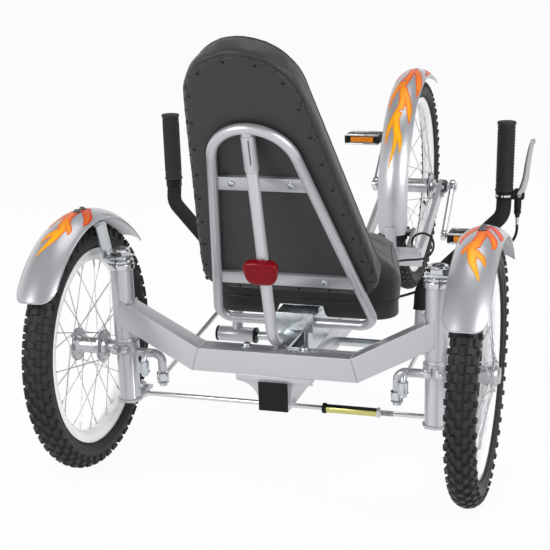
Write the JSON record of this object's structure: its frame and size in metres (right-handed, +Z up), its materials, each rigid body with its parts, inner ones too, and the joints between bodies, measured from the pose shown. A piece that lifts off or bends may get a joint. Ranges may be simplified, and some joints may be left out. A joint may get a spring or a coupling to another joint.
{
  "type": "recumbent tricycle",
  "caption": "Recumbent cruiser tricycle with a leaning padded seat, steered rear wheels worked by push-pull hand levers, and a pedalled front wheel on a telescoping beam.",
  "frame": {"origin": "on the ground, midway between the two sides and between the rear and front ends", "axes": "+X to the rider's right, +Y forwards along the beam, +Z up"},
  "size_m": [0.7069, 1.6168, 0.7098],
  "materials": {
    "silver_paint": "metallic silver, glossy",
    "chrome_plate": "polished",
    "black_vinyl": "grained vinyl",
    "black_plastic": "matte",
    "black_rubber": "moulded, matte",
    "tyre_rubber": "knobby",
    "white_rim": "gloss white",
    "steel_wire": "bright",
    "zinc_plate": "galvanised",
    "fender_paint": "metallic silver with flame stripes",
    "red_lens": "reflector lens",
    "foam_sleeve": "foam sleeve"
  },
  "bodies": {
    "frame": {"crossbeam": "silver_paint", "beam_plate": "silver_paint", "headset_cups": "chrome_plate", "main_beam": "silver_paint", "beam_cap": "black_plastic", "seat_bracket": "zinc_plate", "seat_hoop": "silver_paint", "seat_strut": "silver_paint", "rear_reflector": "red_lens", "seat_back": "black_vinyl", "seat_cushion": "black_vinyl", "lever_shaft": "chrome_plate"},
    "front_end": {"front_boom": "silver_paint", "front_fork": "silver_paint", "front_fender": "fender_paint", "front_brake": "chrome_plate", "brake_cable": "black_plastic"},
    "front_wheel": {"front_hub": "chrome_plate", "front_spokes": "steel_wire", "front_rim": "white_rim", "front_tyre": "tyre_rubber"},
    "cranks": {"crank_spindle": "chrome_plate", "left_crank": "chrome_plate", "right_crank": "chrome_plate"},
    "left_pedal": {"left_pedal": "black_plastic"},
    "right_pedal": {"right_pedal": "black_plastic"},
    "left_steer": {"left_knuckle": "silver_paint", "left_fender_bracket": "zinc_plate", "left_fender": "fender_paint"},
    "right_steer": {"right_knuckle": "silver_paint", "right_fender_bracket": "zinc_plate", "right_fender": "fender_paint"},
    "left_wheel": {"left_hub": "chrome_plate", "left_spokes": "steel_wire", "left_rim": "white_rim", "left_tyre": "tyre_rubber"},
    "right_wheel": {"right_hub": "chrome_plate", "right_spokes": "steel_wire", "right_rim": "white_rim", "right_tyre": "tyre_rubber"},
    "tie_rod": {"tie_rod": "chrome_plate"},
    "left_link": {"left_link_rod": "chrome_plate"},
    "right_link": {"right_link_rod": "chrome_plate"},
    "left_lever": {"left_lever": "foam_sleeve", "left_grip": "black_rubber"},
    "right_lever": {"right_lever": "foam_sleeve", "right_grip": "black_rubber", "brake_lever": "chrome_plate", "lever_cable": "black_plastic"}
  },
  "joints": [
    {"name": "boom_slide", "type": "slide", "parent": "frame", "child": "front_end", "axis": [0, 1, 0], "range_m": [-0.06, 0.09]},
    {"name": "front_wheel_spin", "type": "hinge", "parent": "front_end", "child": "front_wheel", "pos_m": [0, 0.5545, 0.254], "axis": [1, 0, 0], "continuous": true},
    {"name": "crank_spin", "type": "hinge", "parent": "front_end", "child": "cranks", "pos_m": [0, 0.5545, 0.254], "axis": [1, 0, 0], "continuous": true},
    {"name": "left_pedal_spin", "type": "hinge", "parent": "cranks", "child": "left_pedal", "pos_m": [-0.101, 0.67428, 0.34758], "axis": [1, 0, 0], "continuous": true},
    {"name": "right_pedal_spin", "type": "hinge", "parent": "cranks", "child": "right_pedal", "pos_m": [0.101, 0.43472, 0.16042], "axis": [1, 0, 0], "continuous": true},
    {"name": "right_steer", "type": "hinge", "parent": "frame", "child": "right_steer", "pos_m": [0.2535, -0.6065, 0.28], "axis": [0, 0, 1], "range_deg": [-22, 22]},
    {"name": "left_steer", "type": "hinge", "parent": "frame", "child": "left_steer", "pos_m": [-0.2535, -0.6065, 0.28], "axis": [0, 0, 1], "range_deg": [-22, 22]},
    {"name": "left_wheel_spin", "type": "hinge", "parent": "left_steer", "child": "left_wheel", "pos_m": [-0.3175, -0.6065, 0.202], "axis": [1, 0, 0], "continuous": true},
    {"name": "right_wheel_spin", "type": "hinge", "parent": "right_steer", "child": "right_wheel", "pos_m": [0.3175, -0.6065, 0.202], "axis": [1, 0, 0], "continuous": true},
    {"name": "tie_rod_pin", "type": "hinge", "parent": "left_steer", "child": "tie_rod", "pos_m": [-0.2535, -0.5565, 0.105], "axis": [0, 0, 1], "range_deg": [-22, 22]},
    {"name": "left_link_pin", "type": "hinge", "parent": "left_steer", "child": "left_link", "pos_m": [-0.1935, -0.6065, 0.158], "axis": [0, 0, 1], "range_deg": [-22, 22]},
    {"name": "right_link_pin", "type": "hinge", "parent": "right_steer", "child": "right_link", "pos_m": [0.1935, -0.6065, 0.158], "axis": [0, 0, 1], "range_deg": [-22, 22]},
    {"name": "left_lever_swing", "type": "hinge", "parent": "frame", "child": "left_lever", "pos_m": [-0.171, -0.3015, 0.133], "axis": [1, 0, 0], "range_deg": [-25, 25]},
    {"name": "right_lever_swing", "type": "hinge", "parent": "frame", "child": "right_lever", "pos_m": [0.171, -0.3015, 0.133], "axis": [1, 0, 0], "range_deg": [-25, 25], "deforming": ["lever_cable"]}
  ],
  "couplings": [
    {"joint": "left_steer", "follows": "right_steer", "ratio": 1},
    {"joint": "tie_rod_pin", "follows": "right_steer", "ratio": -1},
    {"joint": "left_link_pin", "follows": "right_steer", "ratio": -1},
    {"joint": "right_link_pin", "follows": "right_steer", "ratio": -1},
    {"joint": "right_lever_swing", "follows": "right_steer", "ratio": 1.1111},
    {"joint": "left_lever_swing", "follows": "right_steer", "ratio": -1.1111}
  ]
}
